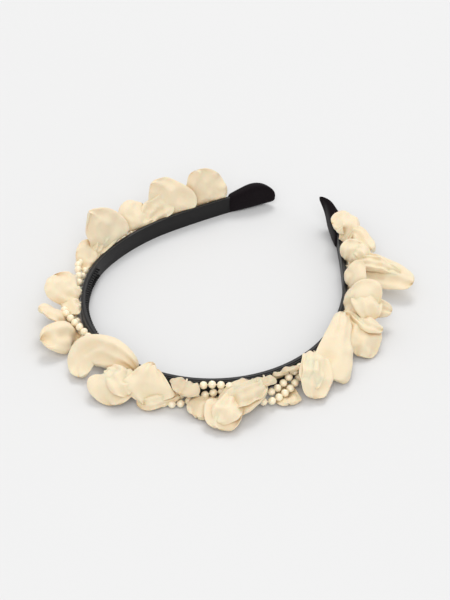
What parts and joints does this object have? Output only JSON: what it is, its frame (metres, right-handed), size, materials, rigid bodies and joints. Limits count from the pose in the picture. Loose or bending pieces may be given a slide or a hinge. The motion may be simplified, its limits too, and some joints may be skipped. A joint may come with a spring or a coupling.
{
  "type": "headband",
  "caption": "Alice headband with a toothed plastic band, ribbon facing, velvet end caps and a garland of folded chiffon petals and pearl bead strands",
  "frame": {"origin": "On the band's lower long edge at the middle of the crown, half way through the plastic's thickness", "axes": "+X to the right arm, +Y from the crown toward the two open ends, +Z across the band's width, up from the edge it lies on"},
  "size_m": [0.1622, 0.1805, 0.0288],
  "materials": {
    "band_plastic": "black semi-gloss moulded plastic, slightly greyer on the inner face",
    "ribbon_satin": "black satin ribbon glued flat",
    "velvet": "black short-pile velvet",
    "chiffon": "cream semi-sheer chiffon, doubled and folded, tan where layers overlap",
    "pearl": "ivory faux pearl with a soft lustre",
    "beading_thread": "ivory beading thread",
    "sewing_thread": "cream sewing thread"
  },
  "bodies": {
    "crown": {"band_crown": "band_plastic", "ribbon_crown": "ribbon_satin", "stitches_crown": "sewing_thread", "pearls_a_crown": "pearl", "thread_a_crown": "beading_thread", "pearls_b_crown": "pearl", "thread_b_crown": "beading_thread", "petal_07": "chiffon", "petal_08": "chiffon", "petal_09": "chiffon", "petal_10": "chiffon", "petal_11": "chiffon", "petal_12": "chiffon", "petal_13": "chiffon", "petal_14": "chiffon", "petal_15": "chiffon", "petal_16": "chiffon", "petal_17": "chiffon", "petal_18": "chiffon", "petal_19": "chiffon", "petal_20": "chiffon"},
    "left_arm": {"band_left": "band_plastic", "ribbon_left": "ribbon_satin", "stitches_left": "sewing_thread", "cap_left": "velvet", "pearls_a_left": "pearl", "thread_a_left": "beading_thread", "pearls_b_left": "pearl", "thread_b_left": "beading_thread", "petal_01": "chiffon", "petal_02": "chiffon", "petal_03": "chiffon", "petal_04": "chiffon", "petal_05": "chiffon", "petal_06": "chiffon"},
    "right_arm": {"band_right": "band_plastic", "ribbon_right": "ribbon_satin", "stitches_right": "sewing_thread", "cap_right": "velvet", "pearls_a_right": "pearl", "thread_a_right": "beading_thread", "pearls_b_right": "pearl", "thread_b_right": "beading_thread", "petal_21": "chiffon", "petal_22": "chiffon", "petal_23": "chiffon", "petal_24": "chiffon", "petal_25": "chiffon", "petal_26": "chiffon", "petal_27": "chiffon", "petal_28": "chiffon", "petal_29": "chiffon", "petal_30": "chiffon"}
  },
  "joints": [
    {"name": "left_arm_flex", "type": "hinge", "parent": "crown", "child": "left_arm", "pos_m": [-0.05979, 0.03925, 0.00475], "axis": [0, 0, 1], "range_deg": [-4, 16], "stiffness_Nm_per_rad": 1},
    {"name": "right_arm_flex", "type": "hinge", "parent": "crown", "child": "right_arm", "pos_m": [0.05979, 0.03925, 0.00475], "axis": [0, 0, -1], "range_deg": [-4, 16], "stiffness_Nm_per_rad": 1}
  ]
}
